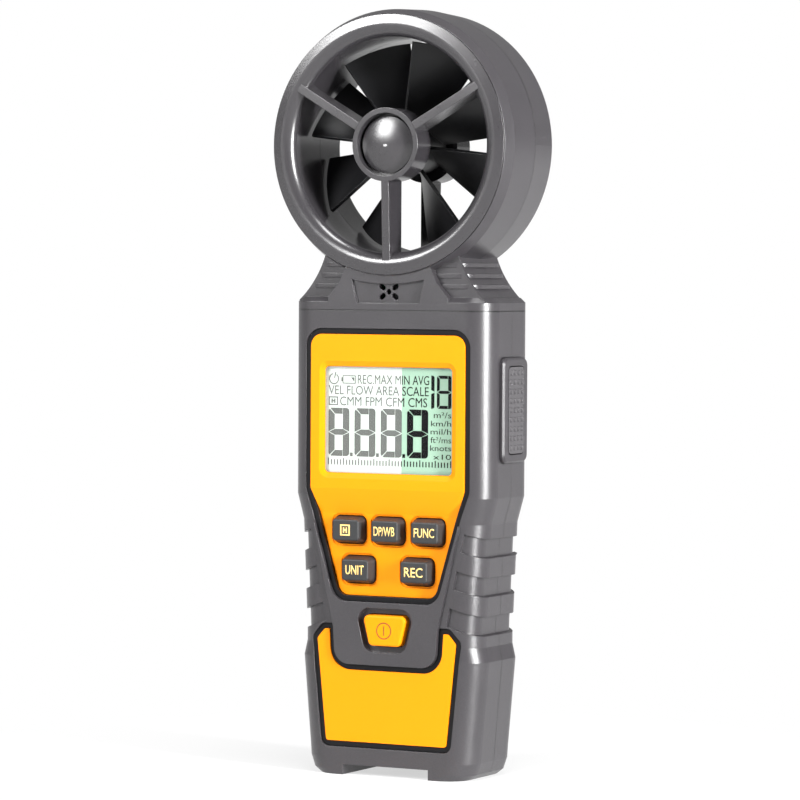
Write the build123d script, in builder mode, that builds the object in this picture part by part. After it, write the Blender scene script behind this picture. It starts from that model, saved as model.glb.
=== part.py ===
from build123d import *
import os
from math import atan2, cos, degrees, hypot, radians, sin

os.makedirs("parts", exist_ok=True)

# A handheld vane weather meter that stands on its feet: X is its width, Y runs from the
# front (-Y) to the back, Z is up. The origin is on the floor, under the middle of the case.

# ---- driving dimensions, millimetres ----
fit_gap = 0.3            # clearance of parts that are laid in or slide
slip = 0.1               # clearance of parts that are pushed together and stay
wall = 2.0

# depths, counted from the front edge of the vane ring
ring_front = -15.4
seam_y = ring_front + 16.5
body_front = ring_front + 0.9
body_back = ring_front + 29.5
body_mid = (body_front + body_back) / 2

# case outline: height against half width
body_top = 135.2
grip_top = 81.5
case_stations = [(0, 24.0), (1.6, 26.2), (5, 27.4), (10, 27.8), (34.3, 29.9), (38.5, 28.9),
                 (41.7, 28.9), (74, 30.3), (grip_top, 32.4), (body_top, 32.4)]
front_corner = 7.5
back_corner = 5.5
foot_gap_half = 14.0
foot_height = 3.0
front_wall = 4.8
back_wall = 2.2

# grip bands, low and high edge at the side of the case
grip_bands = [(41.7, 47.4), (53.0, 58.6), (64.2, 69.8)]
band_depth = 1.3
band_slope = 0.32
band_end_half = 25.0     # where the top band ends on the front
band_end_lean = 0.19

# face panel and what it frames
panel_top = 128.2
panel_half = 25.1
step_high = 83.4
step_low = 76.4
panel_step_half = 22.6
panel_low = 52.4
panel_low_half = 15.6
panel_corner = 3.5
lower_corner = 0.9
bezel_width = 1.7
pocket_depth = 3.0
keypad_drop = 1.6
window_half_x = 20.7
window_low = 88.0
window_high = 118.8
window_slope = 1.6
window_drop = 0.9
window_thick = 1.0
window_lap = 1.8
glass_thick = 1.9

# island around the power key, and the lower panel
island_rise = 0.7
island_top_half = 24.9
island_low_half = 17.0
island_shoulder = 43.0
island_bottom = 32.4
island_corner = 4.8
lower_tip = 42.4
lower_tip_half = 20.2
lower_top = 39.6
lower_top_half = 22.6
lower_bottom = 9.8
lower_bottom_half = 19.6
lower_thick = 1.6
lower_sink = 0.2

# keys
key_size = (10.2, 7.8)
key_corner = 1.7
key_rise = 3.0
key_taper = 17.0
power_recess = (2.0, 1.5)   # width round the power key, and depth below the island's foot
key_travel = 0.7
key_flange = 0.9
flange_thick = 0.8
key_places = {"hold_key": (-12.8, 71.4), "wet_bulb_key": (0.0, 71.4), "function_key": (13.0, 71.4),
              "unit_key": (-9.6, 59.9), "record_key": (9.6, 59.9)}
power_z = 42.6
power_top_half = 7.2
power_low_half = 5.0
power_height = 8.9

# boards
board_front = body_front + 7.6
board_thick = 1.6
board_half = 22.5
board_low = 36.0
board_high = 126.0
mat_thick = 0.7
dome_thick = 0.2
dome_radius = 2.6

# side key
side_z = 106.7
side_frame = (30.4, 15.6)
side_frame_rise = 1.5
side_pad = (25.0, 9.3)
side_travel = 0.7
dot_radius = 0.85
dot_height = 0.5
dot_pitch = (2.7, 2.3)

# battery bay
battery_x = 26.5
battery_y = 16.6
battery_z = 46.4
battery_low = 11.0
stud_radius = 2.9
stud_height = 2.0
stud_half_pitch = 6.35
rib_thick = 1.2
bay_high = 64.0
door_x = 44.0
door_z = 52.0
door_low = 9.0
door_thick = 1.2
door_ledge = 2.0

# fasteners
screw_radius = 1.1
screw_head_radius = 2.2
screw_head = 1.8
screw_sink = 7.0
boss_radius = 2.8
case_screw_places = [(-25.6, 66.0), (25.6, 66.0), (-26.6, 128.6), (26.6, 128.6)]
board_screw_places = [(-20.2, 40.0), (20.2, 40.0), (-20.2, 122.6), (20.2, 122.6)]
post_radius = 1.8
tripod_z = 100.0
tripod_bore = 2.55
tripod_radius = 4.4
tripod_length = 8.0

# vane ring
ring_z = 183.0
casing_outer = 39.6
casing_edge = 39.1
casing_edge_y = ring_front + 4.2
casing_back_edge_y = ring_front + 28.3
ring_back = ring_front + 30.8
lip_outer = 37.5
crest_radius = 34.9
throat_radius = 31.15
duct_outer = 33.4
lip_thick = 4.6
hub_outer = 10.6
hub_inner = 9.1
hub_front = ring_front - 1.2
hub_depth = 8.2
web_thick = 3.5
cap_radius = 8.2
cap_rise = 1.6
spoke_width = 2.4
spoke_angles = (-90, 30, 150)
bearing_radius = 3.0
bearing_thick = 2.5

# rotor
hub_radius = 8.0
hub_half_length = 6.6
blade_count = 8
blade_tip = 30.2
blade_axial = 11.0
blade_thick = 1.1
blade_turn = 23.0        # where the first blade rests, from upright towards -X
blade_spans = [(hub_radius - 0.6, 4.6), (19.0, 11.4), (blade_tip + 1.4, 18.4)]
shaft_radius = 1.0
shaft_play = 0.04
magnet_radius = 4.0
magnet_thick = 1.2

# neck
flange_top = 139.0
flange_chamfer = 1.4
neck_front = ring_front + 3.2
neck_back = ring_front + 27.6
neck_waist_half = 21.8
neck_middle = (24.4, 145.3)
neck_waist_z = 151.0
neck_foot_half = 30.4
neck_ribs = [(142.2, 27.5), (145.3, 25.3), (148.4, 23.8)]
rib_height = 1.2
plate_front = body_front
plate_low = 136.8
plate_sink = 0.9
recess_top = (11.9, 144.2)
recess_low = (10.2, 137.3)
recess_sag = 1.3
vent_hole = 0.8
vent_reach = (2.1, 1.35)
vent_slot = (2.3, 1.5)
vent_z = 140.6


# ---- helpers ----
def facing(y):
    """The plane at depth y that faces the front; extrusions on it grow towards the front."""
    return Plane.XZ.offset(-y)


def half_width(z):
    """Half width of the case at height z, read from the stations."""
    for (z0, w0), (z1, w1) in zip(case_stations, case_stations[1:]):
        if z0 <= z <= z1:
            return w0 + (w1 - w0) * (z - z0) / (z1 - z0)
    raise ValueError(z)


def case_solid(z_low, z_high, inset, y_front, y_back):
    """The case between two heights, drawn in by inset at its sides."""
    heights = [z_low] + [z for z, _ in case_stations if z_low < z < z_high] + [z_high]
    with BuildPart() as solid:
        for z in heights:
            with BuildSketch(Plane.XY.offset(z)) as section:
                with Locations((0, (y_front + y_back) / 2)):
                    Rectangle(2 * (half_width(z) - inset), y_back - y_front)
                by_depth = section.vertices().group_by(Axis.Y)
                fillet(by_depth[0], front_corner - min(inset, 3))
                fillet(section.vertices().group_by(Axis.Y)[-1], back_corner - min(inset, 3))
        loft(ruled=True)
    return solid.part


def mirrored(points):
    """Closes a right-hand outline, given from the top down, with its mirror image."""
    return points + [(-x, z) for x, z in reversed(points)]


def plate(points, corner, grow, y, thick):
    """A flat plate of the given outline with its back at depth y."""
    with BuildPart() as solid:
        with BuildSketch(facing(y)) as outline:
            with BuildLine():
                Polyline(points, close=True)
            make_face()
            fillet(outline.vertices(), corner)
            if grow:
                offset(amount=grow)
        extrude(amount=thick)
    return solid.part


def block(x, y, z):
    """A box between the two values of each pair."""
    with BuildPart() as solid:
        with Locations(((x[0] + x[1]) / 2, (y[0] + y[1]) / 2, (z[0] + z[1]) / 2)):
            Box(abs(x[1] - x[0]), abs(y[1] - y[0]), abs(z[1] - z[0]))
    return solid.part


def rod(places, radius, y_back, y_front):
    """Round rods along Y, one at each (x, z) place."""
    with BuildPart() as solid:
        with BuildSketch(facing(y_back)):
            with Locations(*places):
                Circle(radius)
        extrude(amount=y_back - y_front)
    return solid.part


def turned(points):
    """A ring or disc turned about the vane's axis from (radius, y) points."""
    with BuildPart() as solid:
        with BuildSketch(Plane.XY.offset(ring_z)):
            with BuildLine():
                Polyline(points, close=True)
            make_face()
        revolve(axis=Axis((0, 0, ring_z), (0, 1, 0)))
    return solid.part


def save(piece, name):
    piece.part.label = name
    export_step(piece.part, f"parts/{name}.step")


# ---- shared outlines ----
panel_points = mirrored([(panel_half, panel_top), (panel_half, step_high), (panel_step_half, step_low),
                         (panel_low_half, panel_low)])
island_points = mirrored([(island_top_half, step_low + 1.2), (island_low_half, island_shoulder),
                          (island_low_half - 0.6, island_bottom)])
lower_points = mirrored([(lower_tip_half, lower_tip), (lower_top_half, lower_top),
                         (lower_bottom_half, lower_bottom)])
power_points = mirrored([(power_top_half, power_z + power_height / 2),
                         (power_low_half, power_z - power_height / 2)])
glass_half_x = window_half_x + window_lap
glass_low = window_low - window_lap
glass_high = window_high + window_lap
pocket_floor = body_front + pocket_depth
cover_floor = body_front + front_wall
keypad_front = body_front + keypad_drop
key_front = keypad_front - key_rise
board_back = board_front + board_thick
island_front = body_front - island_rise
side_face = half_width(side_z)


def island(grow, y, thick):
    return plate(island_points, island_corner, grow, y, thick)


def lower_plate(grow, y, thick):
    """The lower panel's outline, notched by the island and the groove around it."""
    with BuildPart() as solid:
        add(plate(lower_points, lower_corner, grow, y, thick))
        add(island(bezel_width - grow, y + 1, thick + 2), mode=Mode.SUBTRACT)
    return solid.part


def key_block(x, z, grow, y_back, y_front):
    with BuildPart() as solid:
        with BuildSketch(facing(y_back)):
            with Locations((x, z)):
                RectangleRounded(key_size[0] + 2 * grow, key_size[1] + 2 * grow, key_corner + grow)
        extrude(amount=y_back - y_front)
    return solid.part


def power_block(grow, y_back, y_front):
    return plate(power_points, 1.6, grow, y_back, y_back - y_front)


def side_block(size, corner, x_low, x_high):
    """A rounded block on the side key's axis."""
    with BuildPart() as solid:
        with BuildSketch(Plane.YZ.offset(x_low)):
            with Locations((seam_y, side_z)):
                RectangleRounded(size[1], size[0], corner)
        extrude(amount=x_high - x_low)
    return solid.part


def band_cutter():
    """The grip bands of both sides; their ledges fall towards the sides."""
    with BuildPart() as cutter:
        with BuildSketch(facing(body_back + 1)):
            for low, high in grip_bands:
                side = half_width((low + high) / 2)
                outer = side + 2
                ends = []
                for z in (high, low):
                    end = band_end_half - band_end_lean * (grip_bands[-1][1] - z)
                    ends.append((end, z + band_slope * (side - end)))
                with BuildLine():
                    Polyline(ends[0], ends[1], (outer, low - band_slope * 2),
                             (outer, high - band_slope * 2), close=True)
                make_face()
            mirror(about=Plane.YZ)
        extrude(amount=body_back - body_front + 2)
        add(case_solid(30, 90, band_depth, body_front + 0.8, body_back - 0.8), mode=Mode.SUBTRACT)
    return cutter.part


# ---- case covers ----
outer = case_solid(0, body_top, 0, body_front, body_back)
inner = case_solid(foot_height + wall, body_top - wall, wall, cover_floor, body_back - back_wall)
bands = band_cutter()
foot_gap = block((-foot_gap_half, foot_gap_half), (body_front - 1, body_back + 1), (-1, foot_height))
side_window = side_block((side_frame[0] + 2 * slip, side_frame[1] + 2 * slip), 2.6, side_face - 4, side_face + 4)
cable_slot = block((-8, 8), (body_front + 8, body_front + 12), (body_top - wall - 1, body_top + 1))
head_screw_places = [(-18, seam_y + 6), (18, seam_y + 6)]

with BuildPart() as front_cover:
    add(outer)
    add(inner, mode=Mode.SUBTRACT)
    split(bisect_by=Plane.XZ.offset(-seam_y), keep=Keep.TOP)
    add(island(0, body_front + 0.5, island_rise + 0.5))
    add(rod(case_screw_places, boss_radius, seam_y, cover_floor - 1))
    add(rod(board_screw_places, post_radius, board_front, cover_floor - 1))
    add(plate(panel_points, panel_corner, bezel_width, pocket_floor, pocket_depth + 2), mode=Mode.SUBTRACT)
    add(lower_plate(bezel_width, body_front + lower_sink + lower_thick, 4), mode=Mode.SUBTRACT)
    add(block((-glass_half_x - slip, glass_half_x + slip), (pocket_floor - 1, cover_floor + 1),
              (glass_low - slip, glass_high + slip)), mode=Mode.SUBTRACT)
    for x, z in key_places.values():
        add(key_block(x, z, fit_gap, cover_floor + 1, body_front - 2), mode=Mode.SUBTRACT)
    add(power_block(power_recess[0], body_front + power_recess[1], island_front - 1), mode=Mode.SUBTRACT)
    add(power_block(fit_gap, cover_floor + 1, island_front - 1), mode=Mode.SUBTRACT)
    add(rod(case_screw_places, screw_radius + 0.05, seam_y + 1, cover_floor + 1.2), mode=Mode.SUBTRACT)
    add(rod(board_screw_places, 0.85, board_front + 1, cover_floor - 0.6), mode=Mode.SUBTRACT)
    add(bands, mode=Mode.SUBTRACT)
    add(foot_gap, mode=Mode.SUBTRACT)
    add(side_window, mode=Mode.SUBTRACT)
    add(cable_slot, mode=Mode.SUBTRACT)
save(front_cover, "front_cover")

bay_half = battery_x / 2 + fit_gap
bay_front = board_back + 0.4
door_back = body_back
door_mid_z = door_low + door_z / 2
with BuildPart() as rear_cover:
    add(outer)
    add(inner, mode=Mode.SUBTRACT)
    split(bisect_by=Plane.XZ.offset(-seam_y), keep=Keep.BOTTOM)
    add(rod(case_screw_places, boss_radius + 0.6, body_back - 1, seam_y))
    add(rod([(0, tripod_z)], tripod_radius + 1.8, body_back - 1, body_back - tripod_length - 1.2))
    for side in (-1, 1):
        add(block((side * bay_half, side * (bay_half + rib_thick)), (bay_front, body_back - 1),
                  (foot_height + wall + slip, bay_high)))
    add(rod(case_screw_places, screw_head_radius + 0.2, body_back + 1, body_back - screw_sink), mode=Mode.SUBTRACT)
    add(rod(case_screw_places, screw_radius + 0.3, body_back, seam_y - 1), mode=Mode.SUBTRACT)
    add(rod([(0, tripod_z)], tripod_radius + 0.05, body_back + 1, body_back - tripod_length), mode=Mode.SUBTRACT)
    with BuildSketch(facing(body_back + 1)):
        with Locations((0, door_mid_z)):
            RectangleRounded(door_x + 2 * fit_gap, door_z + 2 * fit_gap, 3 + fit_gap)
    extrude(amount=1 + door_thick, mode=Mode.SUBTRACT)
    with BuildSketch(facing(body_back + 1)):
        with Locations((0, door_mid_z)):
            Rectangle(door_x - 2 * door_ledge, door_z - 2 * door_ledge)
    extrude(amount=1 + back_wall + 0.5, mode=Mode.SUBTRACT)
    add(bands, mode=Mode.SUBTRACT)
    add(foot_gap, mode=Mode.SUBTRACT)
    add(side_window, mode=Mode.SUBTRACT)
    for x, y in head_screw_places:
        with Locations((x, y, body_top)):
            Cylinder(screw_radius + 0.2, 3 * wall, mode=Mode.SUBTRACT)
save(rear_cover, "rear_cover")

# ---- head: the ring's casing and the neck that carries it ----
ring_casing = turned([(lip_outer + slip, ring_front + 0.5), (casing_edge, casing_edge_y),
                      (casing_outer, seam_y), (casing_edge, casing_back_edge_y),
                      (lip_outer + 0.7, ring_back - 0.6), (lip_outer + slip, ring_back - 0.3),
                      (lip_outer + slip, ring_back - lip_thick - slip), (duct_outer + slip, ring_back - lip_thick - slip),
                      (duct_outer + slip, ring_front + lip_thick + slip), (lip_outer + slip, ring_front + lip_thick + slip)])
duct_space = rod([(0, ring_z)], duct_outer + 1.2, ring_back + 5, ring_front - 5)

with BuildPart() as flange:
    with BuildSketch(Plane.XY.offset(body_top)) as flange_section:
        with Locations((0, body_mid)):
            Rectangle(2 * half_width(body_top), body_back - body_front)
        fillet(flange_section.vertices().group_by(Axis.Y)[0], front_corner)
        fillet(flange_section.vertices().group_by(Axis.Y)[-1], back_corner)
    extrude(amount=flange_top - body_top)
    chamfer(flange.faces().sort_by(Axis.Z)[-1].edges(), flange_chamfer)

with BuildPart() as neck:
    with BuildSketch(facing(neck_back)):
        with BuildLine():
            foot = (neck_foot_half, flange_top - 1)
            top = (neck_waist_half, neck_waist_z)
            edge = ThreePointArc(top, neck_middle, foot)
            mirror(edge, about=Plane.YZ)
            Line(foot, (-foot[0], foot[1]))
            Line(top, (-top[0], top[1]))
        make_face()
    extrude(amount=neck_back - neck_front)
    for z, reach in neck_ribs:
        with BuildSketch(Plane.XY.offset(z - rib_height / 2)):
            with Locations((0, (neck_front + neck_back) / 2)):
                RectangleRounded(2 * reach, neck_back - neck_front + 0.6, 4)
        extrude(amount=rib_height)
    add(flange.part)
    with BuildSketch(facing(neck_front + 1)):
        with BuildLine():
            Polyline(mirrored([(13.9, neck_waist_z - 3.4), (15.9, 143.2), (19.6, flange_top), (19.6, plate_low)]), close=True)
        make_face()
    extrude(amount=neck_front + 1 - plate_front)
    with BuildSketch(facing(plate_front + plate_sink)):
        with BuildLine():
            Line(recess_top, recess_low)
            Line(recess_low, (-recess_low[0], recess_low[1]))
            Line((-recess_low[0], recess_low[1]), (-recess_top[0], recess_top[1]))
            ThreePointArc((-recess_top[0], recess_top[1]), (0, recess_top[1] - recess_sag), recess_top)
        make_face()
    extrude(amount=plate_sink + 1, mode=Mode.SUBTRACT)

neck_space = block((-17, 17), (plate_front + 2.4, neck_back - wall), (body_top + wall, neck_waist_z))
neck_mouth = block((-8, 8), (body_front + 8, body_front + 12), (body_top - 1, body_top + wall + 1))

with BuildPart() as head:
    add(neck.part)
    add(neck_space, mode=Mode.SUBTRACT)
    add(neck_mouth, mode=Mode.SUBTRACT)
    add(duct_space, mode=Mode.SUBTRACT)
    add(ring_casing)
    add(rod([(0, ring_z)], lip_outer + slip, ring_front + lip_thick + slip, ring_front - 3), mode=Mode.SUBTRACT)
    add(rod([(0, ring_z)], lip_outer + slip, ring_back + 3, ring_back - lip_thick - slip), mode=Mode.SUBTRACT)
    with BuildSketch(facing(plate_front + 4)):
        with Locations((0, vent_z)):
            Circle(vent_hole)
        for x in (-1, 1):
            for z in (-1, 1):
                with Locations(Location((x * vent_reach[0], vent_z + z * vent_reach[1]), z * x * 35)):
                    SlotOverall(*vent_slot)
    extrude(amount=6, mode=Mode.SUBTRACT)

with BuildPart() as head_front:
    add(head.part)
    split(bisect_by=Plane.XZ.offset(-seam_y), keep=Keep.TOP)
save(head_front, "head_front")

with BuildPart() as head_rear:
    add(head.part)
    split(bisect_by=Plane.XZ.offset(-seam_y), keep=Keep.BOTTOM)
    for x, y in head_screw_places:
        with Locations((x, y, body_top)):
            Cylinder(screw_radius + 0.05, 7, mode=Mode.SUBTRACT)
save(head_rear, "head_rear")


# ---- duct halves with their guards ----
def guard(front, sense, join_y):
    """A flared duct half: lip, wall, hub ring, bearing web and spokes. sense is 1 at the front."""
    def at(depth):
        return front + sense * depth

    with BuildPart() as half:
        with BuildSketch(Plane.XY.offset(ring_z)):
            with BuildLine():
                crest = (crest_radius, at(-0.3))
                throat = (throat_radius, at(2.4))
                Line((lip_outer, at(0.2)), crest)
                flare_mid = (throat_radius + 1.1, at(0.55))
                ThreePointArc(crest, flare_mid, throat)
                Polyline(throat, (throat_radius, join_y), (duct_outer, join_y), (duct_outer, at(lip_thick)),
                         (lip_outer, at(lip_thick)), (lip_outer, at(0.2)))
            make_face()
        revolve(axis=Axis((0, 0, ring_z), (0, 1, 0)))
        add(turned([(hub_inner, at(-1.2)), (hub_outer, at(-1.2)), (hub_outer, at(hub_depth - 1.2)),
                    (bearing_radius, at(hub_depth - 1.2)), (bearing_radius, at(hub_depth - 1.2 - bearing_thick)),
                    (shaft_radius + 0.4, at(hub_depth - 1.2 - bearing_thick)),
                    (shaft_radius + 0.4, at(hub_depth - 1.2 - web_thick)), (hub_inner, at(hub_depth - 1.2 - web_thick))]))
        for angle in spoke_angles:
            spoke_plane = Plane(origin=(0, 0, ring_z), x_dir=(cos(radians(angle)), 0, sin(radians(angle))),
                                z_dir=(-sin(radians(angle)), 0, cos(radians(angle))))
            # local x runs outwards along the spoke, local y runs along +Y or -Y
            flip = 1 if spoke_plane.y_dir.Y > 0 else -1
            with BuildSketch(spoke_plane):
                with BuildLine():
                    Polyline([(hub_outer - 0.7, flip * at(-1.1)), (crest_radius - 0.6, flip * at(-0.1)),
                              (crest_radius - 0.6, flip * at(2.6)), (throat_radius + 0.4, flip * at(hub_depth - 1.2)),
                              (hub_outer - 0.7, flip * at(hub_depth - 1.2))], close=True)
                make_face()
            extrude(amount=spoke_width / 2, both=True)
    return half.part


with BuildPart() as front_guard:
    add(guard(ring_front, 1, seam_y - slip / 2))
save(front_guard, "front_guard")

with BuildPart() as rear_guard:
    add(guard(ring_back, -1, seam_y + slip / 2))
save(rear_guard, "rear_guard")


def hub_cap(face, sense):
    """A domed cap on the web, inside the hub ring."""
    seat = face + sense * (hub_depth - 1.2 - web_thick)
    rim = face + sense * 0.6
    with BuildPart() as cap:
        with BuildSketch(Plane.XY.offset(ring_z)):
            with BuildLine():
                Line((0, seat), (cap_radius, seat))
                Line((cap_radius, seat), (cap_radius, rim))
                peak = (0, rim - sense * cap_rise)
                TangentArc(peak, (cap_radius, rim), tangent=(1, 0))
                Line(peak, (0, seat))
            make_face()
        revolve(axis=Axis((0, 0, ring_z), (0, 1, 0)))
    return cap.part


with BuildPart() as front_hub_cap:
    add(hub_cap(ring_front, 1))
save(front_hub_cap, "front_hub_cap")

with BuildPart() as rear_hub_cap:
    add(hub_cap(ring_back, -1))
save(rear_hub_cap, "rear_hub_cap")

front_web_back = ring_front + hub_depth - 1.2
rear_web_front = ring_back - hub_depth + 1.2
for name, low in (("front_bearing", front_web_back - bearing_thick), ("rear_bearing", rear_web_front)):
    with BuildPart() as bearing:
        add(rod([(0, ring_z)], bearing_radius - 0.02, low + bearing_thick, low))
        add(rod([(0, ring_z)], shaft_radius + shaft_play, low + bearing_thick + 1, low - 1), mode=Mode.SUBTRACT)
    save(bearing, name)

# ---- rotor ----
rotor_mid = (front_web_back + rear_web_front) / 2
with BuildPart() as blade:
    for radius, span in blade_spans:
        pitch = degrees(atan2(blade_axial, span))
        chord = hypot(blade_axial, span)
        with BuildSketch(Plane(origin=(0, rotor_mid, ring_z + radius), x_dir=(1, 0, 0), z_dir=(0, 0, 1))):
            Rectangle(chord, blade_thick, rotation=pitch)
    loft()
    add(rod([(0, ring_z)], blade_tip, rotor_mid + 20, rotor_mid - 20), mode=Mode.INTERSECT)

with BuildPart() as rotor:
    add(rod([(0, ring_z)], hub_radius, rotor_mid + hub_half_length, rotor_mid - hub_half_length))
    for i in range(blade_count):
        add(blade.part.rotate(Axis((0, 0, ring_z), (0, 1, 0)), i * 360 / blade_count - blade_turn))
    add(rod([(0, ring_z)], shaft_radius + 0.01, rotor_mid + 20, rotor_mid - 20), mode=Mode.SUBTRACT)
    add(rod([(0, ring_z)], magnet_radius + 0.02, rotor_mid + 20, rotor_mid + hub_half_length - magnet_thick),
        mode=Mode.SUBTRACT)
save(rotor, "rotor")

with BuildPart() as rotor_shaft:
    add(rod([(0, ring_z)], shaft_radius, rear_web_front + web_thick - fit_gap, front_web_back - web_thick + fit_gap))
save(rotor_shaft, "rotor_shaft")

with BuildPart() as rotor_magnet:
    add(rod([(0, ring_z)], magnet_radius, rotor_mid + hub_half_length, rotor_mid + hub_half_length - magnet_thick))
    add(rod([(0, ring_z)], shaft_radius + 0.01, rotor_mid + 20, rotor_mid - 20), mode=Mode.SUBTRACT)
save(rotor_magnet, "rotor_magnet")

# ---- sensors in the neck ----
neck_floor = body_top + wall
ribbon_y = board_back + 0.4
sensor_thick = 1.2
sensor_y = ribbon_y - sensor_thick
neck_ceiling = ring_z - casing_outer - 0.3
with BuildPart() as sensor_board:
    add(block((-11, 11), (sensor_y, ribbon_y), (neck_floor, neck_ceiling)))
save(sensor_board, "sensor_board")

with BuildPart() as humidity_sensor:
    add(block((-2.6, 2.6), (sensor_y - 2.2, sensor_y), (neck_floor + 1, neck_ceiling - 0.8)))
save(humidity_sensor, "humidity_sensor")

with BuildPart() as pickup_sensor:
    add(block((-2.2, 2.2), (ribbon_y, rotor_mid + 2.2), (neck_ceiling - 1.8, neck_ceiling)))
save(pickup_sensor, "pickup_sensor")

with BuildPart() as sensor_ribbon:
    add(block((-5, 5), (ribbon_y, ribbon_y + 0.4), (board_high - 4, neck_ceiling - 2)))
save(sensor_ribbon, "sensor_ribbon")

# ---- panels, their dark bezels and the display ----
window_front = body_front + window_drop
with BuildPart() as face_panel:
    add(plate(panel_points, panel_corner, 0, pocket_floor, pocket_depth))
    add(block((-30, 30), (body_front - 1, keypad_front), (0, step_low)), mode=Mode.SUBTRACT)
    with BuildSketch(Plane.YZ.offset(-30)):
        with BuildLine():
            Polyline([(body_front - 1, step_high), (body_front, step_high), (keypad_front, step_low),
                      (body_front - 1, step_low)], close=True)
        make_face()
    extrude(amount=60, mode=Mode.SUBTRACT)
    window_mid = (window_low + window_high) / 2
    for depth, grow in ((0, window_slope), (window_drop, 0)):
        with BuildSketch(facing(body_front + depth)):
            with Locations((0, window_mid)):
                RectangleRounded(2 * (window_half_x + grow), window_high - window_low + 2 * grow, 1.2 + grow)
    loft(mode=Mode.SUBTRACT)
    add(block((-glass_half_x - slip, glass_half_x + slip), (window_front, pocket_floor + 1),
              (glass_low - slip, glass_high + slip)), mode=Mode.SUBTRACT)
    for x, z in key_places.values():
        add(key_block(x, z, fit_gap, pocket_floor + 1, body_front - 1), mode=Mode.SUBTRACT)
        add(key_block(x, z, fit_gap + 0.5, keypad_front + 0.4, body_front - 1), mode=Mode.SUBTRACT)
save(face_panel, "face_panel")

with BuildPart() as face_bezel:
    add(plate(panel_points, panel_corner, bezel_width - slip, pocket_floor, pocket_depth - 0.5))
    add(plate(panel_points, panel_corner, slip, pocket_floor + 1, pocket_depth + 2), mode=Mode.SUBTRACT)
save(face_bezel, "face_bezel")

lower_floor = body_front + lower_sink + lower_thick
with BuildPart() as lower_panel:
    add(lower_plate(0, lower_floor, lower_thick))
save(lower_panel, "lower_panel")

with BuildPart() as lower_bezel:
    add(lower_plate(bezel_width - slip, lower_floor, lower_thick - 0.4))
    add(lower_plate(slip, lower_floor + 1, lower_thick + 2), mode=Mode.SUBTRACT)
save(lower_bezel, "lower_bezel")

with BuildPart() as display_window:
    add(block((-glass_half_x, glass_half_x), (window_front, window_front + window_thick), (glass_low, glass_high)))
save(display_window, "display_window")

glass_front = window_front + window_thick + slip
glass_back = glass_front + glass_thick
strip_high = 2.0
with BuildPart() as lcd_glass:
    add(block((-glass_half_x, glass_half_x), (glass_front, glass_back), (glass_low, glass_high)))
save(lcd_glass, "lcd_glass")

with BuildPart() as lcd_backlight:
    add(block((-glass_half_x, glass_half_x), (glass_back, board_front),
              (glass_low + strip_high + slip, glass_high - strip_high - slip)))
save(lcd_backlight, "lcd_backlight")

with BuildPart() as contact_strips:
    for z in (glass_low, glass_high - strip_high):
        add(block((-glass_half_x + 1, glass_half_x - 1), (glass_back, board_front), (z, z + strip_high)))
save(contact_strips, "contact_strips")

# ---- main board ----
with BuildPart() as main_board:
    add(block((-board_half, board_half), (board_front, board_back), (board_low, board_high)))
    add(rod(board_screw_places, 1.0, board_back + 1, board_front - 1), mode=Mode.SUBTRACT)
save(main_board, "main_board")

with BuildPart() as main_chip:
    add(block((-7, 7), (board_back, board_back + 1.4), (74, 88)))
save(main_chip, "main_chip")

with BuildPart() as buzzer:
    add(rod([(-14, 112)], 5.5, board_back + 4, board_back))
save(buzzer, "buzzer")

with BuildPart() as board_screws:
    add(rod(board_screw_places, 0.8, board_back, cover_floor - 0.4))
    add(rod(board_screw_places, 1.5, board_back + 0.9, board_back))
save(board_screws, "board_screws")

# ---- key mat and keys ----
dome_places = list(key_places.values()) + [(0, power_z)]
mat_back = board_front - dome_thick
with BuildPart() as key_mat:
    add(block((-18, 18), (mat_back - mat_thick, mat_back), (board_low + 1.5, step_high - 5)))
save(key_mat, "key_mat")

with BuildPart() as key_domes:
    add(rod(dome_places, dome_radius, board_front, mat_back))
save(key_domes, "key_domes")

flange_front = cover_floor + 0.2
flange_back = flange_front + flange_thick
for name, (x, z) in key_places.items():
    with BuildPart() as key:
        add(key_block(x, z, 0, flange_front, keypad_front))
        with BuildSketch(facing(keypad_front)):
            with Locations((x, z)):
                RectangleRounded(*key_size, key_corner)
        extrude(amount=key_rise, taper=key_taper)
        fillet(key.faces().sort_by(Axis.Y)[0].edges(), 0.45)
        add(key_block(x, z, key_flange, flange_back, flange_front))
    save(key, name)

power_front = island_front - 0.5
with BuildPart() as power_key:
    add(power_block(0, flange_front, power_front))
    fillet(power_key.faces().sort_by(Axis.Y)[0].edges(), 0.7)
    add(power_block(key_flange, flange_back, flange_front))
save(power_key, "power_key")

# ---- side key ----
bezel_back = side_face - wall + 0.1
with BuildPart() as side_key_bezel:
    add(side_block(side_frame, 2.5, bezel_back, side_face + side_frame_rise))
    chamfer(side_key_bezel.faces().sort_by(Axis.X)[-1].edges(), 0.6)
    add(side_block((side_pad[0] + 2 * fit_gap, side_pad[1] + 2 * fit_gap), 1.6, bezel_back - 1, side_face + 4),
        mode=Mode.SUBTRACT)
save(side_key_bezel, "side_key_bezel")

pad_face = side_face + side_frame_rise + 0.1
side_key_back = bezel_back - 1.2
with BuildPart() as side_key:
    add(side_block(side_pad, 1.3, bezel_back - 0.2, pad_face))
    add(side_block((side_pad[0] + 2, side_pad[1] + 2), 1.6, side_key_back, bezel_back - 0.2))
    with BuildSketch(Plane.YZ.offset(pad_face)):
        with Locations((seam_y, side_z)):
            with GridLocations(dot_pitch[1], dot_pitch[0], 4, 9):
                Circle(dot_radius)
    extrude(amount=dot_height, taper=25)
save(side_key, "side_key")

side_board_x = board_half - 1.2
with BuildPart() as side_board:
    add(block((side_board_x, board_half), (board_back, seam_y + 5), (side_z - 8, side_z + 8)))
save(side_board, "side_board")

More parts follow.
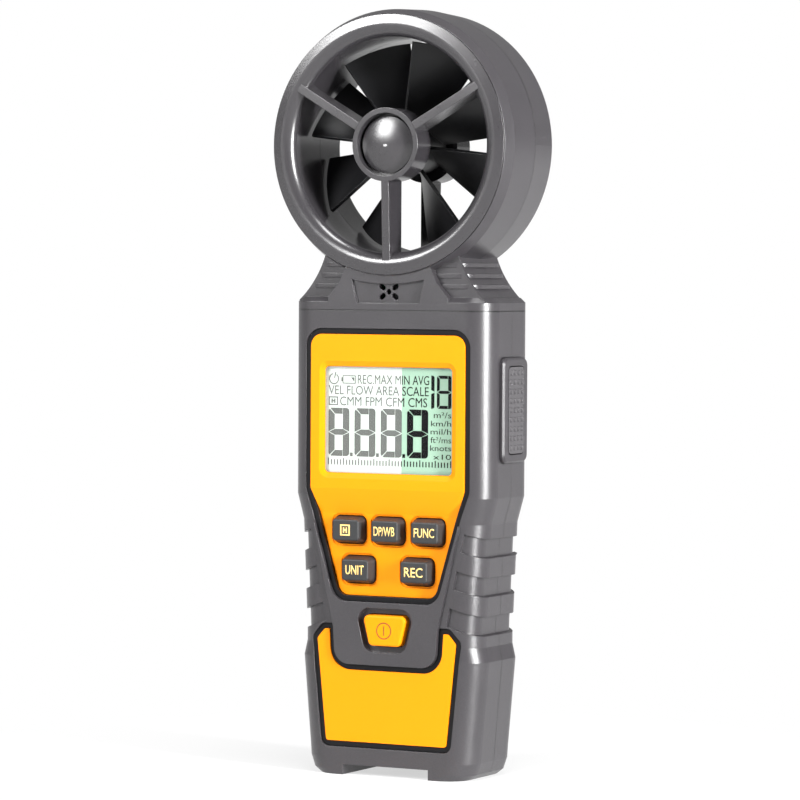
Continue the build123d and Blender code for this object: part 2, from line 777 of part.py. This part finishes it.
with BuildPart() as side_switch:
    add(block((board_half, side_key_back - side_travel - 0.6), (seam_y - 3, seam_y + 3), (side_z - 3, side_z + 3)))
    with Locations((side_key_back - side_travel - 0.5, seam_y, side_z)):
        Cylinder(1.5, 1.0, rotation=(0, 90, 0))
save(side_switch, "side_switch")

# ---- battery and its bay ----
battery_front = board_back + 0.3
battery_mid_y = battery_front + battery_y / 2
battery_high = battery_low + battery_z
with BuildPart() as battery:
    with Locations((0, battery_mid_y, battery_low + battery_z / 2)):
        Box(battery_x, battery_y, battery_z)
    fillet(battery.edges().filter_by(Axis.Z), 2.0)
    with Locations(*[(s * stud_half_pitch, battery_mid_y, battery_high + stud_height / 2) for s in (-1, 1)]):
        Cylinder(stud_radius, stud_height)
save(battery, "battery")

snap_low = battery_high + 0.3
snap_high = snap_low + 3.6
with BuildPart() as battery_snap:
    add(block((-12.5, 12.5), (battery_mid_y - 6, battery_mid_y + 6), (snap_low, snap_high)))
    with Locations(*[(s * stud_half_pitch, battery_mid_y, snap_low + 1) for s in (-1, 1)]):
        Cylinder(stud_radius + 0.2, 2.4, mode=Mode.SUBTRACT)
save(battery_snap, "battery_snap")

with BuildPart() as battery_leads:
    for x in (-4, 4):
        with BuildLine() as route:
            FilletPolyline((x, battery_mid_y - 1, snap_high), (x, battery_mid_y - 1, snap_high + 6),
                           (x, board_back, snap_high + 6), radius=3)
        with BuildSketch(Plane(origin=route.line @ 0, z_dir=(0, 0, 1))):
            Circle(0.6)
        sweep(path=route.line)
save(battery_leads, "battery_leads")

with BuildPart() as battery_door:
    with BuildSketch(facing(body_back)):
        with Locations((0, door_mid_z)):
            RectangleRounded(door_x, door_z, 3)
    extrude(amount=door_thick)
    for i in range(3):
        add(block((-7, 7), (body_back - 0.5, body_back + 1), (door_low + door_z - 6 - 3 * i, door_low + door_z - 4.6 - 3 * i)),
            mode=Mode.SUBTRACT)
save(battery_door, "battery_door")

# ---- fasteners and the tripod insert ----
screw_seat = body_back - screw_sink
with BuildPart() as case_screws:
    add(rod(case_screw_places, screw_radius, screw_seat, cover_floor + 1.4))
    add(rod(case_screw_places, screw_head_radius, screw_seat + screw_head, screw_seat))
    for x, z in case_screw_places:
        for size in ((2.4, 0.6), (0.6, 2.4)):
            add(block((x - size[0] / 2, x + size[0] / 2), (screw_seat + screw_head - 0.8, screw_seat + screw_head + 1),
                      (z - size[1] / 2, z + size[1] / 2)), mode=Mode.SUBTRACT)
save(case_screws, "case_screws")

with BuildPart() as head_screws:
    for x, y in head_screw_places:
        with Locations((x, y, body_top + 0.6)):
            Cylinder(screw_radius, 5.2)
        with Locations((x, y, body_top - wall - screw_head / 2)):
            Cylinder(screw_head_radius, screw_head)
save(head_screws, "head_screws")

with BuildPart() as tripod_insert:
    add(rod([(0, tripod_z)], tripod_radius, body_back, body_back - tripod_length))
    add(rod([(0, tripod_z)], tripod_bore, body_back + 1, body_back - tripod_length - 1), mode=Mode.SUBTRACT)
save(tripod_insert, "tripod_insert")
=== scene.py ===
"""Looks of a handheld weather meter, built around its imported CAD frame. Everything is in metres."""
import math

import bmesh
import bpy
from mathutils import Matrix, Vector


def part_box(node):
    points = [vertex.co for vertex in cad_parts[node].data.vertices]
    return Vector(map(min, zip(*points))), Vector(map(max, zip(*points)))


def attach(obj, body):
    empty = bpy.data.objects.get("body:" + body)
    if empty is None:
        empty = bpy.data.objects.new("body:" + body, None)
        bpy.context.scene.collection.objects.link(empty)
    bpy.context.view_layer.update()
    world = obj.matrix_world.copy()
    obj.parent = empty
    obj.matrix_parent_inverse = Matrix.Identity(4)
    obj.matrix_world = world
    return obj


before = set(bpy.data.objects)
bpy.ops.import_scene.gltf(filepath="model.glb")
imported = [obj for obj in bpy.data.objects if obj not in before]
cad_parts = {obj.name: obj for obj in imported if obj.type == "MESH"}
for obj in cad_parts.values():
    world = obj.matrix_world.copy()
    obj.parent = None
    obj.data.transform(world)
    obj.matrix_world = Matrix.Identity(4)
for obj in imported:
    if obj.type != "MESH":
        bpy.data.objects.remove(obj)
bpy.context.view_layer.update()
MM = 0.001


# ---- places, read from the frame ----
def low(node):
    return Vector(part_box(node)[0])


def high(node):
    return Vector(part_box(node)[1])


def middle(node):
    """The X and Z of the middle of a node's box."""
    centre = (low(node) + high(node)) / 2
    return centre.x, centre.z


SEAM_Y = high("front_cover").y
CASE_TOP = high("front_cover").z
GLASS_FACE = low("lcd_glass").y
WINDOW_LAP = 1.8 * MM  # how far the panel covers the window's rim
VIEW_LOW = low("display_window") + Vector((WINDOW_LAP, 0, WINDOW_LAP))
VIEW_HIGH = high("display_window") - Vector((WINDOW_LAP, 0, WINDOW_LAP))
INK = 0.03 * MM
# the left share of the display is painted paler: a painted reflection of a bright light in the window
GLARE_SHARE = 0.592
GLARE_EDGE = VIEW_LOW.x + (VIEW_HIGH.x - VIEW_LOW.x) * GLARE_SHARE


# ---- materials ----
def principled(name, colour, roughness, specular=0.5):
    material = bpy.data.materials.new(name)
    material.use_nodes = True
    shader = material.node_tree.nodes["Principled BSDF"]
    shader.inputs["Base Color"].default_value = (*colour, 1)
    shader.inputs["Roughness"].default_value = roughness
    shader.inputs["Specular IOR Level"].default_value = specular
    return material, material.node_tree, shader


def node(tree, kind, **values):
    made = tree.nodes.new(kind)
    for key, value in values.items():
        if key in made.inputs:
            made.inputs[key].default_value = value
        else:
            setattr(made, key, value)
    return made


def math_node(tree, operation, first, second=None, clamp=False):
    made = node(tree, "ShaderNodeMath", operation=operation, use_clamp=clamp)
    for slot, value in enumerate((first, second)):
        if value is None:
            continue
        if isinstance(value, (int, float)):
            made.inputs[slot].default_value = value
        else:
            tree.links.new(value, made.inputs[slot])
    return made.outputs[0]


BROAD_SCALE = 55.0
BROAD_SHARE = 0.7
GROOVE_DARKNESS = 0.8
ROUGH_SWING = 0.12
BEVEL_SAMPLES = 4


def line_mask(tree, coordinate, place, half):
    """1 within half of the plane where the coordinate is at place, and 0 away from it."""
    offset = math_node(tree, "ABSOLUTE", math_node(tree, "SUBTRACT", coordinate, place))
    edge = math_node(tree, "DIVIDE", math_node(tree, "SUBTRACT", half * 1.5, offset), half * 0.5)
    return math_node(tree, "MULTIPLY", edge, 1.0, clamp=True)


def moulded(name, colour, roughness, grain=0.35 * MM, depth=0.02 * MM, mottle=0.12, bevel=0.25 * MM,
            seams=(), specular=0.5):
    """Moulded plastic: a fine grain, a faint mottling, softened edges, and dark parting lines."""
    material, tree, shader = principled(name, colour, roughness, specular)
    coords = node(tree, "ShaderNodeTexCoord").outputs["Object"]
    fine = node(tree, "ShaderNodeTexNoise", Scale=1 / grain, Detail=3.0, Roughness=0.6)
    broad = node(tree, "ShaderNodeTexNoise", Scale=BROAD_SCALE, Detail=4.0, Roughness=0.55)
    for texture in (fine, broad):
        tree.links.new(coords, texture.inputs["Vector"])
    tone = math_node(tree, "MULTIPLY", math_node(tree, "SUBTRACT", fine.outputs["Fac"], 0.5), mottle * 2)
    wide = math_node(tree, "SUBTRACT", broad.outputs["Fac"], 0.5)
    wide = math_node(tree, "MULTIPLY", wide, mottle * BROAD_SHARE)
    value = math_node(tree, "ADD", math_node(tree, "ADD", tone, wide), 1.0)
    if seams:
        split = node(tree, "ShaderNodeSeparateXYZ")
        tree.links.new(coords, split.inputs[0])
        lines = [line_mask(tree, split.outputs[axis], place, half) for axis, place, half in seams]
        groove = lines[0]
        for other in lines[1:]:
            groove = math_node(tree, "MAXIMUM", groove, other)
        left = math_node(tree, "SUBTRACT", 1.0, math_node(tree, "MULTIPLY", groove, GROOVE_DARKNESS))
        value = math_node(tree, "MULTIPLY", value, left)
    tint = node(tree, "ShaderNodeHueSaturation", Color=(*colour, 1))
    tree.links.new(value, tint.inputs["Value"])
    tree.links.new(tint.outputs[0], shader.inputs["Base Color"])
    rough = math_node(tree, "MULTIPLY", broad.outputs["Fac"], ROUGH_SWING)
    rough = math_node(tree, "ADD", rough, roughness - ROUGH_SWING / 2)
    tree.links.new(rough, shader.inputs["Roughness"])
    bump = node(tree, "ShaderNodeBump", Strength=1.0, Distance=depth)
    tree.links.new(fine.outputs["Fac"], bump.inputs["Height"])
    if bevel:
        soft = node(tree, "ShaderNodeBevel", Radius=bevel)
        soft.samples = BEVEL_SAMPLES
        tree.links.new(soft.outputs[0], bump.inputs["Normal"])
    tree.links.new(bump.outputs[0], shader.inputs["Normal"])
    return material


def metal(name, colour, roughness):
    material = moulded(name, colour, roughness, grain=0.15 * MM, depth=0.004 * MM, mottle=0.08,
                       bevel=0)
    material.node_tree.nodes["Principled BSDF"].inputs["Metallic"].default_value = 1
    return material


def clear_window():
    """Clear plastic: almost nothing but its reflections."""
    material, _, shader = principled("window_clear", (0.0, 0.0, 0.0), 0.015)
    shader.inputs["Alpha"].default_value = 0.08
    return material


# the width over which the painted reflection's edge fades
GLARE_EDGE_BLUR = 0.35 * MM


def painted_glare_split(name, left, right, edge, roughness, mottle):
    """One colour left of the plane where X is edge, and another right of it: the paler left colour is a
    painted reflection on the display.
    """
    material, tree, shader = principled(name, right, roughness, specular=0.1)
    coords = node(tree, "ShaderNodeTexCoord").outputs["Object"]
    split = node(tree, "ShaderNodeSeparateXYZ")
    tree.links.new(coords, split.inputs[0])
    side = math_node(tree, "SUBTRACT", split.outputs["X"], edge)
    side = math_node(tree, "DIVIDE", side, GLARE_EDGE_BLUR)
    side = math_node(tree, "ADD", side, 0.5, clamp=True)
    broad = node(tree, "ShaderNodeTexNoise", Scale=60.0, Detail=2.0)
    tree.links.new(coords, broad.inputs["Vector"])
    value = math_node(tree, "MULTIPLY", broad.outputs["Fac"], mottle)
    value = math_node(tree, "ADD", value, 1 - mottle / 2)
    mix = node(tree, "ShaderNodeMix", data_type="RGBA")
    mix.inputs[6].default_value = (*left, 1)
    mix.inputs[7].default_value = (*right, 1)
    tree.links.new(side, mix.inputs[0])
    tint = node(tree, "ShaderNodeHueSaturation")
    tree.links.new(value, tint.inputs["Value"])
    tree.links.new(mix.outputs[2], tint.inputs["Color"])
    tree.links.new(tint.outputs[0], shader.inputs["Base Color"])
    return material


SEAM_HALF = 0.16 * MM
CASE_COLOUR = (0.034, 0.0315, 0.035)
case_grey = moulded("case_grey", CASE_COLOUR, 0.30, grain=0.3 * MM, depth=0.04 * MM, mottle=0.5,
                    seams=[("Y", SEAM_Y, SEAM_HALF), ("Z", CASE_TOP, SEAM_HALF)], specular=0.7)
trim_grey = moulded("trim_grey", CASE_COLOUR, 0.30, grain=0.3 * MM, depth=0.04 * MM, mottle=0.5)
guard_grey = moulded("guard_grey", (0.029, 0.027, 0.030), 0.25, grain=0.4 * MM, depth=0.012 * MM,
                     mottle=0.25, specular=0.9)
orange = moulded("orange", (0.90, 0.255, 0.001), 0.45, grain=0.3 * MM, depth=0.012 * MM,
                 mottle=0.06, specular=0.12)
bezel_black = moulded("bezel_black", (0.004, 0.004, 0.005), 0.35, depth=0.01 * MM, specular=0.25)
key_black = moulded("key_black", (0.018, 0.019, 0.020), 0.48, grain=0.25 * MM, depth=0.015 * MM,
                    bevel=0.45 * MM)
rotor_black = moulded("rotor_black", (0.006, 0.006, 0.007), 0.38, depth=0.008 * MM)
pad_grey = moulded("pad_grey", (0.060, 0.057, 0.061), 0.42, grain=0.3 * MM, depth=0.02 * MM)
component = moulded("component", (0.02, 0.02, 0.022), 0.5)
board_green = moulded("board_green", (0.01, 0.16, 0.06), 0.35, mottle=0.2)
ribbon_amber = moulded("ribbon_amber", (0.45, 0.2, 0.04), 0.4)
battery_blue = moulded("battery_skin", (0.03, 0.05, 0.12), 0.35)
steel = metal("steel", (0.55, 0.55, 0.57), 0.3)
brass = metal("brass", (0.72, 0.48, 0.18), 0.3)
magnet = metal("magnet", (0.25, 0.25, 0.27), 0.45)
window = clear_window()
# the display back and its ink are painted paler over their left part: a painted reflection, not a colour of
# the display
display = painted_glare_split("display_back_and_glare", (0.72, 0.80, 0.74), (0.38, 0.58, 0.44), GLARE_EDGE, 0.6, 0.06)
backlight = moulded("backlight_white", (0.8, 0.82, 0.8), 0.5)
ink_and_glare = painted_glare_split("lcd_ink_and_glare", (0.16, 0.17, 0.16), (0.005, 0.005, 0.006), GLARE_EDGE, 0.6, 0.1)
legend = moulded("legend", (0.93, 0.62, 0.20), 0.5, bevel=0, depth=0)
sign_brown = moulded("power_sign", (0.12, 0.03, 0.002), 0.5, bevel=0, depth=0)

FINISHES = {
    case_grey: ["front_cover", "rear_cover", "head_front", "head_rear"],
    trim_grey: ["side_key_bezel", "battery_door"],
    pad_grey: ["side_key"],
    guard_grey: ["front_guard", "rear_guard", "front_hub_cap", "rear_hub_cap"],
    orange: ["face_panel", "lower_panel", "power_key"],
    bezel_black: ["face_bezel", "lower_bezel"],
    key_black: ["hold_key", "wet_bulb_key", "function_key", "unit_key", "record_key", "key_mat",
                "contact_strips"],
    rotor_black: ["rotor"],
    steel: ["rotor_shaft", "front_bearing", "rear_bearing", "case_screws", "board_screws", "head_screws",
            "key_domes"],
    magnet: ["rotor_magnet"],
    brass: ["tripod_insert"],
    board_green: ["sensor_board", "main_board", "side_board"],
    component: ["humidity_sensor", "pickup_sensor", "main_chip", "buzzer", "side_switch", "battery_snap",
                "battery_leads"],
    ribbon_amber: ["sensor_ribbon"],
    window: ["display_window"],
    display: ["lcd_glass"],
    backlight: ["lcd_backlight"],
    battery_blue: ["battery"],
}
for finish, names in FINISHES.items():
    for name in names:
        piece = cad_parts[name]
        for slot in piece.material_slots:
            slot.material = finish


# ---- flat print: words, signs and display segments ----
class Print:
    """Collects flat shapes in X and Z, and makes one thin piece of them at depth y."""

    def __init__(self):
        self.mesh = bmesh.new()

    def polygon(self, points):
        verts = [self.mesh.verts.new((x, 0, z)) for x, z in points]
        self.mesh.faces.new(verts)

    def bar(self, x0, x1, z0, z1):
        self.polygon([(x0, z0), (x1, z0), (x1, z1), (x0, z1)])

    def frame(self, x0, x1, z0, z1, line):
        """A rectangle's outline, line thick."""
        self.bar(x0, x1, z1 - line, z1)
        self.bar(x0, x1, z0, z0 + line)
        self.bar(x0, x0 + line, z0 + line, z1 - line)
        self.bar(x1 - line, x1, z0 + line, z1 - line)

    def ring(self, centre, outer, inner, start=0.0, end=360.0, steps=40):
        """An arc of a ring, in degrees anticlockwise from +X."""
        angles = [math.radians(start + (end - start) * i / steps) for i in range(steps + 1)]
        for a, b in zip(angles, angles[1:]):
            corners = [(outer, a), (outer, b), (inner, b), (inner, a)]
            self.polygon([(centre[0] + r * math.cos(t), centre[1] + r * math.sin(t)) for r, t in corners])

    def text(self, words, x0, x1, z0, z1, weight=0.0):
        """Words stretched to fill the box from x0 to x1 and z0 to z1; weight makes them bolder."""
        curve = bpy.data.curves.new("words", "FONT")
        curve.body = words
        curve.offset = weight
        curve.resolution_u = 3
        holder = bpy.data.objects.new("words", curve)
        bpy.context.scene.collection.objects.link(holder)
        bpy.context.view_layer.update()
        mesh = bpy.data.meshes.new_from_object(holder.evaluated_get(bpy.context.evaluated_depsgraph_get()))
        bpy.data.objects.remove(holder)
        bpy.data.curves.remove(curve)
        xs = [v.co.x for v in mesh.vertices]
        ys = [v.co.y for v in mesh.vertices]
        for v in mesh.vertices:
            u = (v.co.x - min(xs)) / (max(xs) - min(xs))
            w = (v.co.y - min(ys)) / (max(ys) - min(ys))
            v.co = (x0 + (x1 - x0) * u, 0, z0 + (z1 - z0) * w)
        self.mesh.from_mesh(mesh)
        bpy.data.meshes.remove(mesh)

    def piece(self, name, y, material, body, thick=INK):
        """The finished piece; its back is at y and it is thick towards the front."""
        bmesh.ops.remove_doubles(self.mesh, verts=self.mesh.verts, dist=1e-7)
        faces = list(self.mesh.faces)
        made = bmesh.ops.extrude_face_region(self.mesh, geom=faces)
        for v in made["geom"]:
            if isinstance(v, bmesh.types.BMVert):
                v.co.y -= thick
        for v in self.mesh.verts:
            v.co.y += y
        bmesh.ops.recalc_face_normals(self.mesh, faces=self.mesh.faces)
        mesh = bpy.data.meshes.new(name)
        self.mesh.to_mesh(mesh)
        self.mesh.free()
        mesh.materials.append(material)
        made = bpy.data.objects.new(name, mesh)
        bpy.context.scene.collection.objects.link(made)
        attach(made, body)
        return made


def at(u, v):
    """A place on the display: u runs left to right and v from the top down, both from 0 to 1."""
    return (VIEW_LOW.x + (VIEW_HIGH.x - VIEW_LOW.x) * u, VIEW_HIGH.z - (VIEW_HIGH.z - VIEW_LOW.z) * v)


def span(u0, u1, v0, v1):
    x0, z1 = at(u0, v0)
    x1, z0 = at(u1, v1)
    return x0, x1, z0, z1


SEGMENT_GAP = 0.13 * MM
CORNER_CUT = 0.9 / 7  # of the digit's width


def eight(sheet, u0, u1, v0, v1, wide, thick, lit="abcdefg"):
    """The seven mitred segments of a digit: its uprights are wide, its cross bars thick."""
    gap = SEGMENT_GAP
    x0, x1, z0, z1 = span(u0, u1, v0, v1)
    zm = (z0 + z1) / 2
    cut = CORNER_CUT * (x1 - x0)
    half = thick / 2
    shapes = {
        "a": [(x0 + cut, z1), (x1 - wide - gap, z1), (x1 - wide - gap, z1 - thick), (x0 + wide, z1 - thick),
              (x0 + cut * 0.7, z1 - cut * 0.2)],
        "d": [(x0 + cut, z0), (x1 - wide - gap, z0), (x1 - wide - gap, z0 + thick), (x0 + wide, z0 + thick),
              (x0 + cut * 0.7, z0 + cut * 0.2)],
        "f": [(x0, z1 - cut), (x0 + cut * 0.4, z1 - cut * 0.4), (x0 + wide - gap, z1 - thick - gap),
              (x0 + wide - gap, zm + half + gap), (x0, zm + gap)],
        "e": [(x0, z0 + cut), (x0 + cut * 0.4, z0 + cut * 0.4), (x0 + wide - gap, z0 + thick + gap),
              (x0 + wide - gap, zm - half - gap), (x0, zm - gap)],
        "b": [(x1 - wide, z1), (x1 - cut, z1), (x1 - cut * 0.3, z1 - cut * 0.3), (x1, z1 - cut),
              (x1, zm + gap), (x1 - wide, zm + half + gap)],
        "c": [(x1 - wide, z0), (x1 - cut, z0), (x1 - cut * 0.3, z0 + cut * 0.3), (x1, z0 + cut),
              (x1, zm - gap), (x1 - wide, zm - half - gap)],
        "g": [(x0 + gap * 2, zm), (x0 + wide, zm + half), (x1 - wide, zm + half), (x1 - gap * 2, zm),
              (x1 - wide, zm - half), (x0 + wide, zm - half)],
    }
    for name in lit:
        sheet.polygon(shapes[name])


# the letter H in its box, as shares of the box
H_SIDE = 0.29
H_END = 0.25
H_STROKE = 0.13
H_CROSS = (0.43, 0.57)


def boxed_h(x0, x1, z0, z1, sheet, line):
    """A letter H in a frame."""
    wide, tall = x1 - x0, z1 - z0
    sheet.frame(x0, x1, z0, z1, line)
    left, right = x0 + wide * H_SIDE, x1 - wide * H_SIDE
    stroke = wide * H_STROKE
    sheet.bar(left, left + stroke, z0 + tall * H_END, z1 - tall * H_END)
    sheet.bar(right - stroke, right, z0 + tall * H_END, z1 - tall * H_END)
    sheet.bar(left + stroke, right - stroke, z0 + tall * H_CROSS[0], z0 + tall * H_CROSS[1])


def power_symbol(sheet, centre, outer, line):
    """An open ring with a slanted stroke in its gap."""
    x, z = centre
    sheet.ring(centre, outer, outer - line, start=105, end=415)
    sheet.polygon([(x, z + 0.2 * MM), (x + line, z + 0.2 * MM), (x + 0.75 * MM, z + 1.9 * MM),
                   (x + 0.4 * MM, z + 1.9 * MM)])


def battery_symbol(sheet, x0, x1, z0, z1):
    """A battery lying with its terminal to the left, almost empty."""
    sheet.frame(x0, x1, z0, z1, 0.24 * MM)
    sheet.bar(x0 - 0.4 * MM, x0, z0 + 0.6 * MM, z1 - 0.6 * MM)
    sheet.polygon([(x1 - 1.5 * MM, z1 - 0.6 * MM), (x1 - 0.5 * MM, z0 + 0.6 * MM),
                   (x1 - 0.5 * MM, z1 - 0.6 * MM)])


def display_words():
    sheet = Print()
    power_symbol(sheet, at(0.053, 0.118), 1.62 * MM, 0.3 * MM)
    battery_symbol(sheet, *span(0.122, 0.226, 0.084, 0.162))
    sheet.text("REC.MAX MIN AVG", *span(0.243, 0.807, 0.076, 0.162))
    sheet.text("VEL FLOW AREA SCALE", *span(0.011, 0.804, 0.180, 0.266))
    sheet.text("CMM FPM CFM CMS", *span(0.102, 0.792, 0.284, 0.370))
    boxed_h(*span(0.012, 0.086, 0.286, 0.368), sheet, 0.32 * MM)
    units = [("m²/s", 0.845, 0.412, 0.467), ("km/h", 0.823, 0.492, 0.544), ("mil/h", 0.820, 0.568, 0.620),
             ("ft²/ms", 0.820, 0.645, 0.700), ("knots", 0.817, 0.722, 0.774), ("x10", 0.842, 0.806, 0.854)]
    for unit, start, top, base in units:
        sheet.text(unit, *span(start, 0.981, top, base))
    sheet.piece("lcd_words", GLASS_FACE, ink_and_glare, "root")


def display_digits():
    sheet = Print()
    for start in (0.011, 0.219, 0.427, 0.635):
        eight(sheet, start, start + 0.166, 0.392, 0.848, 2.15 * MM, 1.75 * MM)
    for start in (0.183, 0.391, 0.599):
        sheet.bar(*span(start, start + 0.022, 0.812, 0.848))
    for start, lit in ((0.868, "abcdefg"), (0.736, "bc")):
        eight(sheet, start, start + 0.113, 0.070, 0.380, 1.05 * MM, 0.9 * MM, lit=lit)
    sheet.piece("lcd_digits", GLASS_FACE, ink_and_glare, "root")


TICKS = 41
TICKS_START = 0.011
TICKS_END = 0.979
TICK_HALF = 0.0042
LONG_TICK_EVERY = 5


def display_scale():
    sheet = Print()
    for i in range(TICKS):
        u = TICKS_START + (TICKS_END - TICKS_START) * i / (TICKS - 1)
        top = 0.866 if i % LONG_TICK_EVERY == 0 else 0.880
        sheet.bar(*span(u - TICK_HALF, u + TICK_HALF, top, 0.930))
    sheet.piece("lcd_scale", GLASS_FACE, ink_and_glare, "root")


KEY_WEIGHT = 0.008


def key_legends():
    """The words on the keys, which move with them."""
    legends = {"wet_bulb_key": ("DP/WB", 6.8, 2.7), "function_key": ("FUNC", 6.6, 2.7),
               "unit_key": ("UNIT", 6.0, 2.7), "record_key": ("REC", 6.0, 2.8)}
    for key, (words, width, height) in legends.items():
        x, z = middle(key)
        half_wide, half_tall = width / 2 * MM, height / 2 * MM
        sheet = Print()
        sheet.text(words, x - half_wide, x + half_wide, z - half_tall, z + half_tall, weight=KEY_WEIGHT)
        sheet.piece(key + "_legend", low(key).y, legend, key)


def hold_legend():
    key, half = "hold_key", 1.6 * MM
    x, z = middle(key)
    sheet = Print()
    boxed_h(x - half, x + half, z - half, z + half, sheet, 0.42 * MM)
    sheet.piece(key + "_legend", low(key).y, legend, key)


def power_sign():
    """A circle with an upright bar in it."""
    key, outer, line, bar_half = "power_key", 2.45 * MM, 0.3 * MM, 0.14 * MM
    x, z = middle(key)
    sheet = Print()
    sheet.ring((x, z), outer, outer - line)
    sheet.bar(x - bar_half, x + bar_half, z - 1.4 * MM, z + 1.4 * MM)
    sheet.piece("power_sign", low(key).y, sign_brown, key)


display_words()
display_digits()
display_scale()
key_legends()
hold_legend()
power_sign()


# ---- stage: floor, lights and camera ----
def white_for_camera(name, lit, shown, fade):
    """A pale surface that the camera and reflections see washed out by white.

    The share of white is shown in the middle, and all of it from fade metres away.
    """
    material = bpy.data.materials.new(name)
    material.use_nodes = True
    tree = material.node_tree
    tree.nodes.clear()
    out = node(tree, "ShaderNodeOutputMaterial")
    diffuse = node(tree, "ShaderNodeBsdfDiffuse", Color=(lit, lit, lit, 1))
    glow = node(tree, "ShaderNodeEmission", Color=(1, 1, 1, 1), Strength=1.0)
    mix = node(tree, "ShaderNodeMixShader")
    path = node(tree, "ShaderNodeLightPath")
    seen = math_node(tree, "MAXIMUM", path.outputs["Is Camera Ray"], path.outputs["Is Glossy Ray"])
    seen = math_node(tree, "MAXIMUM", seen, path.outputs["Is Transmission Ray"])
    place = node(tree, "ShaderNodeTexCoord").outputs["Object"]
    length = node(tree, "ShaderNodeVectorMath", operation="LENGTH")
    tree.links.new(place, length.inputs[0])
    far = math_node(tree, "MULTIPLY", length.outputs["Value"], 1 / fade, clamp=True)
    share = math_node(tree, "ADD", math_node(tree, "MULTIPLY", far, 1 - shown), shown)
    tree.links.new(math_node(tree, "MULTIPLY", seen, share), mix.inputs[0])
    tree.links.new(diffuse.outputs[0], mix.inputs[1])
    tree.links.new(glow.outputs[0], mix.inputs[2])
    tree.links.new(mix.outputs[0], out.inputs[0])
    return material


FLOOR_SIZE = 40.0
bpy.ops.mesh.primitive_plane_add(size=FLOOR_SIZE, location=(0, 0, 0))
floor = bpy.context.object
floor.name = "floor"
floor.data.materials.append(white_for_camera("floor_white", 0.9, 0.6, 0.16))

# the camera sees white round the object, which itself is lit by less
AMBIENT = 0.11
GLOSSY_SHARE = 0.25
world = bpy.data.worlds.new("studio")
bpy.context.scene.world = world
world.use_nodes = True
world_tree = world.node_tree
world_tree.nodes.clear()
world_out = node(world_tree, "ShaderNodeOutputWorld")
ambient = node(world_tree, "ShaderNodeBackground", Color=(1, 1, 1, 1), Strength=AMBIENT)
shown = node(world_tree, "ShaderNodeBackground", Color=(1, 1, 1, 1), Strength=1.0)
world_mix = node(world_tree, "ShaderNodeMixShader")
world_path = node(world_tree, "ShaderNodeLightPath")
world_seen = math_node(world_tree, "MAXIMUM", world_path.outputs["Is Camera Ray"],
                       world_path.outputs["Is Transmission Ray"])
world_glossy = math_node(world_tree, "MULTIPLY", world_path.outputs["Is Glossy Ray"], GLOSSY_SHARE)
world_seen = math_node(world_tree, "MAXIMUM", world_seen, world_glossy)
world_tree.links.new(world_seen, world_mix.inputs[0])
world_tree.links.new(ambient.outputs[0], world_mix.inputs[1])
world_tree.links.new(shown.outputs[0], world_mix.inputs[2])
world_tree.links.new(world_mix.outputs[0], world_out.inputs[0])


def softbox(name, place, aim, size, power):
    light = bpy.data.lights.new(name, "AREA")
    light.shape = "RECTANGLE"
    light.size, light.size_y = size
    light.energy = power
    holder = bpy.data.objects.new(name, light)
    holder.location = place
    holder.rotation_euler = (Vector(aim) - Vector(place)).to_track_quat("-Z", "Y").to_euler()
    bpy.context.scene.collection.objects.link(holder)


MIDDLE = (0, 0, 0.11)
softbox("side_light", (0.95, -0.28, 0.22), MIDDLE, (0.12, 0.8), 32)
softbox("front_light", (-0.5, -0.8, 0.6), MIDDLE, (0.4, 0.4), 12)
softbox("top_light", (0.15, -0.15, 0.95), (0, 0, 0.15), (0.3, 0.3), 5)

# the camera stands to the right of the front, and its lens and sensor are in millimetres
AZIMUTH = math.radians(27.91)
PITCH = math.radians(1.96)
ROLL = math.radians(0.31)
CAMERA_PLACE = Vector((0.54658, -1.03826, 0.14911))
LENS_OVER_WIDTH = 5.029
SENSOR = 36.0
camera_data = bpy.data.cameras.new("camera")
camera_data.sensor_width = SENSOR
camera_data.lens = SENSOR * LENS_OVER_WIDTH
camera_data.clip_start = 0.01
camera = bpy.data.objects.new("camera", camera_data)
camera.matrix_world = (Matrix.Translation(CAMERA_PLACE) @ Matrix.Rotation(AZIMUTH, 4, "Z")
                       @ Matrix.Rotation(math.pi / 2 - PITCH, 4, "X") @ Matrix.Rotation(ROLL, 4, "Z"))
bpy.context.scene.collection.objects.link(camera)
bpy.context.scene.camera = camera

bpy.context.scene.view_settings.view_transform = "Standard"
